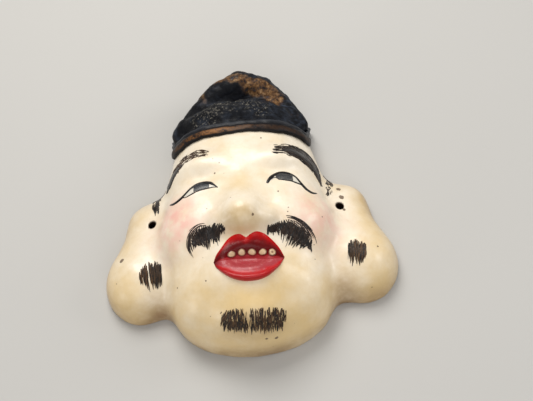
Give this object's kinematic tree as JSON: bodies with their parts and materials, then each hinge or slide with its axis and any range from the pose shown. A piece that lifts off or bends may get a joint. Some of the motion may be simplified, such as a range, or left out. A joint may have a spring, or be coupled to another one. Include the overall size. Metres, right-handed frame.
{
  "type": "noh mask",
  "caption": "Small painted clay wall mask of a laughing bearded man with long ear lobes and a soft black cap, hollow at the back, with string holes.",
  "frame": {"origin": "middle of the mask's outline, in the plane of its back rim", "axes": "+Z out of the face, away from the wall; +Y up the face, from the chin to the cap; +X to the right as you look at the face"},
  "size_m": [0.1236, 0.1281, 0.0445],
  "materials": {
    "ivory_clay": "pressed clay under a glossy ivory paint, aged to yellow and brown at its edges, with rose cheeks",
    "black_cap": "clay under thick blue-black paint, rubbed through to orange brown and crusted grey",
    "vermilion": "glossy vermilion enamel on clay",
    "rose_red": "thin glossy rose red enamel on clay",
    "tooth_cream": "cream dots of thick paint with brown rings",
    "brush_ink": "brushed black-brown paint in fine strokes, slightly glossy",
    "slate": "thin slate grey paint"
  },
  "bodies": {
    "root": {"face_shell": "ivory_clay", "left_ear": "ivory_clay", "right_ear": "ivory_clay", "cap_crown": "black_cap", "cap_band": "black_cap", "mouth_bed": "rose_red", "upper_lip": "vermilion", "lower_lip": "rose_red", "teeth": "tooth_cream", "left_eye_line": "brush_ink", "right_eye_line": "brush_ink", "left_iris": "slate", "right_iris": "slate", "left_eyebrow": "brush_ink", "right_eyebrow": "brush_ink", "left_moustache": "brush_ink", "right_moustache": "brush_ink", "chin_beard": "brush_ink", "left_temple_lock": "brush_ink", "right_temple_lock": "brush_ink", "left_jaw_tuft": "brush_ink", "right_jaw_tuft": "brush_ink"}
  },
  "joints": []
}
